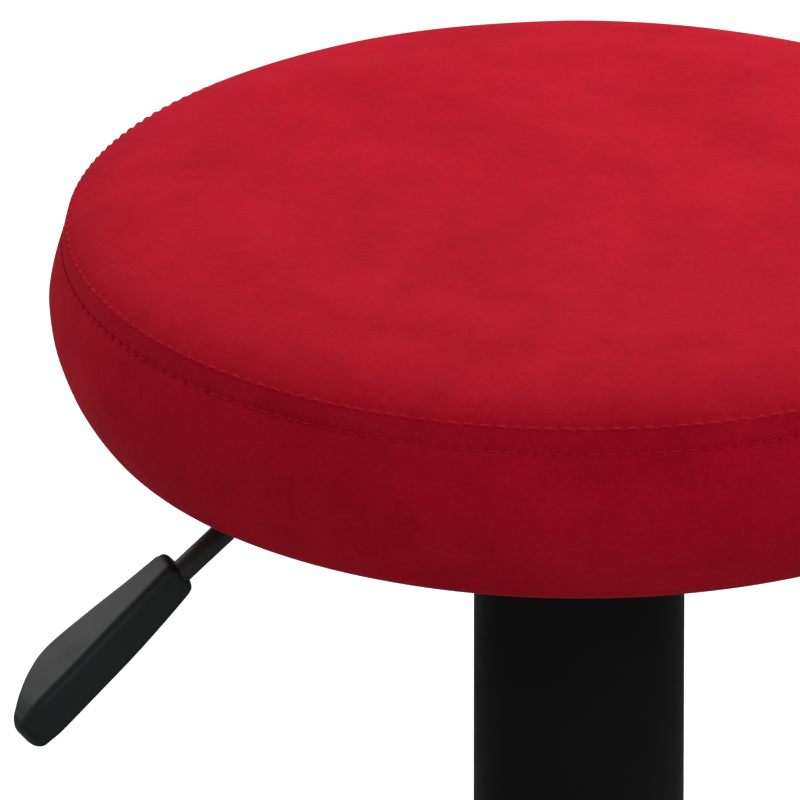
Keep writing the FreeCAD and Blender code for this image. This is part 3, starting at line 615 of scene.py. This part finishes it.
def lathe(name, outline, steps):
    """A closed form turned from (radius, height) points that start and end on the axis."""
    vertices = [Vector((0, 0, outline[0][1]))]
    for radius, height in outline[1:-1]:
        vertices.extend(round_point(radius, height, angle) for angle in turns(steps))
    end = len(vertices)
    vertices.append(Vector((0, 0, outline[-1][1])))
    last = end - steps
    faces = []
    for step in range(steps):
        following = (step + 1) % steps
        faces.append((0, 1 + step, 1 + following))
        faces.append((last + following, last + step, end))
    join_rings(faces, range(1, end, steps), steps)
    return mesh_object(name, vertices, faces)


def foam_core():
    """The moulded foam under the velvet, hollowed for the board."""
    radius = SEAM_RADIUS - FOAM_INSET
    outline = crown_outline(radius, CROWN_HEIGHT - FOAM_INSET, FOAM_RINGS)
    for offset, drop in smooth_outline(SIDE_OUTLINE, 2)[FOAM_SIDE_START:]:
        height = max(SEAM_HEIGHT + drop * MM, UNDERSIDE)
        outline.append((radius + offset * MM, height + FOAM_LIFT))
    outline.append((BOARD_RADIUS, UNDERSIDE + FOAM_LIFT))
    outline.append((BOARD_RADIUS, BOARD_TOP))
    outline.append((0.0, BOARD_TOP))
    return lathe("foam_core", outline, FOAM_STEPS)


def paddle_ring(section, inset):
    """A rounded rectangle across the paddle, with a point beside each corner that keeps its faces flat."""
    along, near, far, top, bottom = (value * MM for value in section)
    edge = min(PADDLE_EDGE, PADDLE_EDGE_SHARE * (near - far))
    near, far, top, bottom = near - inset, far + inset, top - inset, bottom + inset
    points = []
    corners = ((near, top, 1, 1), (far, top, -1, 1), (far, bottom, -1, -1), (near, bottom, 1, -1))
    for number, (side, rise, out, up) in enumerate(corners):
        centre = (side - out * edge, rise - up * edge)
        steps = range(PADDLE_EDGE_STEPS + 1)
        bends = [math.pi / 2 * (number + part / PADDLE_EDGE_STEPS) for part in steps]
        arc = [(centre[0] + edge * math.cos(bend), centre[1] + edge * math.sin(bend)) for bend in bends]
        lead = (math.sin(bends[0]) * PADDLE_FLAT_EDGE, -math.cos(bends[0]) * PADDLE_FLAT_EDGE)
        trail = (-math.sin(bends[-1]) * PADDLE_FLAT_EDGE, math.cos(bends[-1]) * PADDLE_FLAT_EDGE)
        points.append((arc[0][0] + lead[0], arc[0][1] + lead[1]))
        points.extend(arc)
        points.append((arc[-1][0] + trail[0], arc[-1][1] + trail[1]))
    return along, points


def socket_rings():
    """The bottom and the mouth of the round socket, with as many points as the paddle's outline."""
    outline = paddle_ring(PADDLE_SECTIONS[0], 0.0)[1]
    bends = [math.atan2(rise, side) for side, rise in outline]
    circle = [(SOCKET_RADIUS * math.cos(bend), SOCKET_RADIUS * math.sin(bend)) for bend in bends]
    return [(SOCKET_DEPTH, circle), (0.0, circle)]


def heel_rings():
    """The rounded end where the rod enters."""
    rings = []
    for part in range(PADDLE_HEEL_STEPS + 1):
        bend = math.pi / 2 * part / PADDLE_HEEL_STEPS
        inset = PADDLE_HEEL * (1 - math.sin(bend))
        rings.append((PADDLE_HEEL * (1 - math.cos(bend)), paddle_ring(PADDLE_SECTIONS[0], inset)[1]))
    return rings


def tip_rings():
    """The rounded outer end, which closes in mostly from its far side."""
    along, outline = paddle_ring(PADDLE_SECTIONS[-1], 0.0)
    near, far, top, bottom = (value * MM for value in PADDLE_SECTIONS[-1][1:])
    middle_side, middle_rise = (near + far) / 2, (top + bottom) / 2
    rings = []
    for part in range(1, PADDLE_TIP_STEPS + 1):
        bend = math.pi / 2 * part / PADDLE_TIP_END
        narrow = math.cos(bend) ** PADDLE_TIP_NARROWING
        shallow = 1 - PADDLE_TIP_THINNING * (1 - math.cos(bend))
        advance = PADDLE_TIP * math.sin(bend)
        shrunk = []
        for side, rise in outline:
            taper = PADDLE_TAPER * advance * narrow * (near - side) / (near - far)
            new_side = middle_side + (side - middle_side) * narrow + taper
            shrunk.append((new_side, middle_rise + (rise - middle_rise) * shallow))
        rings.append((along + advance, shrunk))
    return rings


def lever_paddle():
    """The moulded handle: flat faces, soft edges, a rounded tip and a socket for the rod."""
    axis = frame_joint("lever_lift")["axis"]
    heading = Vector((-axis[1], axis[0], 0)).normalized()
    forward = heading * math.cos(PADDLE_SLOPE) - UP * math.sin(PADDLE_SLOPE)
    above = heading * math.sin(PADDLE_SLOPE) + UP * math.cos(PADDLE_SLOPE)
    aside = Vector((-heading.y, heading.x, 0))
    origin = heading * PADDLE_START + UP * (UNDERSIDE - PADDLE_DROP)
    sections = smooth_outline(PADDLE_SECTIONS, SECTION_STEPS)[HEEL_RINGS:]
    rings = socket_rings() + heel_rings()
    rings += [paddle_ring(section, 0.0) for section in sections]
    rings += tip_rings()
    vertices = []
    for along, outline in rings:
        lean = PADDLE_SKEW * max(0.0, 1 - along / PADDLE_SKEW_LENGTH)
        for side, rise in outline:
            place = along + lean * (side - PADDLE_SKEW_MIDDLE)
            vertices.append(origin + forward * place + aside * side + above * rise)
    count = len(rings[0][1])
    last = len(vertices) - count
    faces = [tuple(range(count)), tuple(last + step for step in reversed(range(count)))]
    join_rings(faces, range(0, len(vertices), count), count)
    return mesh_object("lever_paddle_skin", vertices, faces)


def stitch_row(name, row, surface):
    """One row of thread: each stitch rises from a needle hole, lies flat and dives again."""
    vertices = []
    faces = []
    for number in range(STITCHES):
        start = (number - ROW_STAGGER * row + (1 - STITCH_LENGTH) / 2) / STITCHES
        length = STITCH_LENGTH / STITCHES
        base = len(vertices)
        for step in range(THREAD_STEPS + 1):
            part = step / THREAD_STEPS
            middle, outward, across = surface(2 * math.pi * (start + length * part))
            arch = math.sin(math.pi * part)
            lift = THREAD_RADIUS[row] * (THREAD_RISE * arch ** THREAD_SHOULDER - THREAD_SINK)
            centre = middle + outward * lift
            thick = THREAD_RADIUS[row] * (THREAD_END + (1 - THREAD_END) * arch)
            for turn in turns(THREAD_SIDES):
                vertices.append(centre + (outward * math.cos(turn) + across * math.sin(turn)) * thick)
        end = len(vertices) - THREAD_SIDES
        join_rings(faces, range(end, base - 1, -THREAD_SIDES), THREAD_SIDES)
        faces.append(tuple(base + side for side in reversed(range(THREAD_SIDES))))
        faces.append(tuple(end + side for side in range(THREAD_SIDES)))
    return mesh_object(name, vertices, faces)


def upper_row_place(angle):
    """The seam's edge, with the directions out of it and across it."""
    radial = round_point(1.0, 0.0, angle)
    outward = (radial * SEAM_OUT + UP * SEAM_UP).normalized()
    across = (UP * SEAM_OUT - radial * SEAM_UP).normalized()
    dip = TOP_PULL * row_pull(0, stitch_phase(angle, 0), 0)
    radius = SEAM_RADIUS - UPPER_ROW_IN - dip * UPPER_ROW_FOLLOW
    return round_point(radius, SEAM_HEIGHT + UPPER_ROW_UP - dip, angle), outward, across


def lower_row_place(angle):
    """The lower row's groove, with the directions out of it and across it."""
    radial = round_point(1.0, 0.0, angle)
    pull = row_pull(0, stitch_phase(angle, 1), 1)
    mid_stitch_pull = row_pull(0, 0.5, 1)
    spring = LOWER_ROW_OUT + LOWER_ROW_SPRING * (pull - mid_stitch_pull)
    return side_surface(BAND_FLARE, -BAND_HEIGHT / MM, angle) + radial * spring, radial, UP


# ---------------------------------------------------------------- camera, floor and light

def add_camera():
    forward = Vector((0, math.cos(ELEVATION), -math.sin(ELEVATION)))
    up = Vector((0, math.sin(ELEVATION), math.cos(ELEVATION)))
    right = Vector((1, 0, 0))
    aim = Vector((0, 0, SEAM_HEIGHT)) + right * AIM_SIDE - up * AIM_DROP
    data = bpy.data.cameras.new("camera")
    data.lens = FOCAL_LENGTH
    data.sensor_width = SENSOR_WIDTH
    data.clip_start = NEAR_CLIP
    data.clip_end = FAR_CLIP
    camera = link(bpy.data.objects.new("camera", data))
    place = aim - forward * CAMERA_DISTANCE
    camera.matrix_world = Matrix.Translation(place) @ Matrix((right, up, -forward)).transposed().to_4x4()
    bpy.context.scene.camera = camera


def add_floor():
    half = FLOOR_SIZE / 2
    corners = [(-half, -half, 0), (half, -half, 0), (half, half, 0), (-half, half, 0)]
    floor = mesh_object("studio_floor", corners, [(0, 1, 2, 3)], smooth=False)
    material, tree, shader = new_material("pale_floor")
    shader.inputs["Base Color"].default_value = (FLOOR_BOUNCE, FLOOR_BOUNCE, FLOOR_BOUNCE, 1.0)
    shader.inputs["Roughness"].default_value = 0.9
    shader.inputs["Specular IOR Level"].default_value = 0.0
    shader.inputs["Emission Color"].default_value = (1.0, 1.0, 1.0, 1.0)
    path = tree.nodes.new("ShaderNodeLightPath")
    glow = tree.nodes.new("ShaderNodeMath")
    glow.operation = "MULTIPLY"
    glow.inputs[1].default_value = FLOOR_GLOW
    tree.links.new(path.outputs["Is Camera Ray"], glow.inputs[0])
    tree.links.new(glow.outputs["Value"], shader.inputs["Emission Strength"])
    floor.data.materials.append(material)


def area_light(name, place, size, watts, colour):
    data = bpy.data.lights.new(name, "AREA")
    data.shape = "DISK"
    data.size = size
    data.energy = watts
    data.color = colour
    light = link(bpy.data.objects.new(name, data))
    light.location = place
    direction = Vector(LIGHTS_AIM) - Vector(place)
    light.rotation_euler = direction.to_track_quat("-Z", "Y").to_euler()


def add_light():
    world = bpy.data.worlds.new("studio")
    bpy.context.scene.world = world
    world.use_nodes = True
    background = world.node_tree.nodes["Background"]
    background.inputs["Color"].default_value = (1.0, 1.0, 1.0, 1.0)
    background.inputs["Strength"].default_value = SKY
    for light in LIGHTS:
        area_light(*light)
    bpy.context.scene.view_settings.view_transform = "Standard"


# ---------------------------------------------------------------- build

add_camera()
add_floor()
add_light()

velvet = velvet_material("velvet_red", (0.506, 0.0045, 0.0192), (0.560, 0.0066, 0.0238))
thread = thread_material()

top = velvet_top()
side = velvet_side()
stuffing = simulate_stuffing()
stuff(top, stuffing)
stuff(side, stuffing)
for piece, node in ((top, "seat_top_panel"), (side, "seat_side_band")):
    piece.data.materials.append(velvet)
    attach(piece, "seat")
    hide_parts(node)

foam = foam_core()
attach(foam, "seat")
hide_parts("seat_foam")

paddle = lever_paddle()
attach(paddle, "lever")
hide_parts("lever_paddle")

for name, row, place in (("upper_stitches", 0, upper_row_place), ("lower_stitches", 1, lower_row_place)):
    stitches = stitch_row(name, row, place)
    stitches.data.materials.append(thread)
    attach(stitches, "seat")

finishes = {
    "velvet": velvet,
    "foam": cloth_material("upholstery_foam", (0.62, 0.52, 0.30), (0.78, 0.68, 0.44), 300.0),
    "plywood": wood_material(),
    "lining_cloth": cloth_material("black_lining", (0.006, 0.006, 0.006), (0.02, 0.02, 0.02), 700.0),
    "staple_wire": metal_material("staple_wire", (0.62, 0.62, 0.62), (0.25, 0.4)),
    "zinc_steel": metal_material("zinc_plated_steel", (0.58, 0.58, 0.55), (0.28, 0.45)),
    "black_steel": plastic_material("black_powder_coat", (0.014, 0.014, 0.014), (0.018, 0.018, 0.018),
                                    (0.40, 0.52), 900.0, 0.00015, specular=0.45),
    "chromed_rod": metal_material("hard_chrome", (0.75, 0.75, 0.77), (0.05, 0.12)),
    "seal_rubber": plastic_material("seal_rubber", (0.012, 0.012, 0.012), (0.02, 0.02, 0.02),
                                    (0.7, 0.85), 500.0, 0.0002, specular=0.2),
    "aluminium": metal_material("turned_aluminium", (0.72, 0.72, 0.74), (0.25, 0.4), brushed=(1, 1, 12)),
    "bearing_nylon": plastic_material("bearing_nylon", (0.58, 0.55, 0.46), (0.70, 0.67, 0.58),
                                      (0.4, 0.55), 400.0, 0.0002),
    "cover_plastic": plastic_material("cover_plastic", (0.0115, 0.0115, 0.0115), (0.014, 0.014, 0.014),
                                      (0.5, 0.62), 1100.0, 0.0001, specular=0.02),
    "handle_plastic": plastic_material("handle_plastic", (0.0092, 0.0122, 0.0116), (0.0116, 0.0150, 0.0142),
                                       (0.46, 0.54), 1000.0, 0.0001, specular=0.31),
    "base_nylon": plastic_material("base_nylon", (0.010, 0.010, 0.010), (0.016, 0.016, 0.016),
                                   (0.45, 0.6), 900.0, 0.0002),
    "hood_nylon": plastic_material("hood_nylon", (0.010, 0.010, 0.010), (0.018, 0.018, 0.018),
                                   (0.35, 0.5), 900.0, 0.00015),
    "wheel_nylon": plastic_material("wheel_nylon", (0.012, 0.012, 0.012), (0.022, 0.022, 0.022),
                                    (0.4, 0.6), 700.0, 0.00015),
    "caster_steel": metal_material("caster_steel", (0.5, 0.5, 0.5), (0.2, 0.35)),
}
foam.data.materials.append(finishes["foam"])
paddle.data.materials.append(finishes["handle_plastic"])
for part in frame["record"]["subparts"]:
    paint(part["node"], finishes[part["material_slot"]])
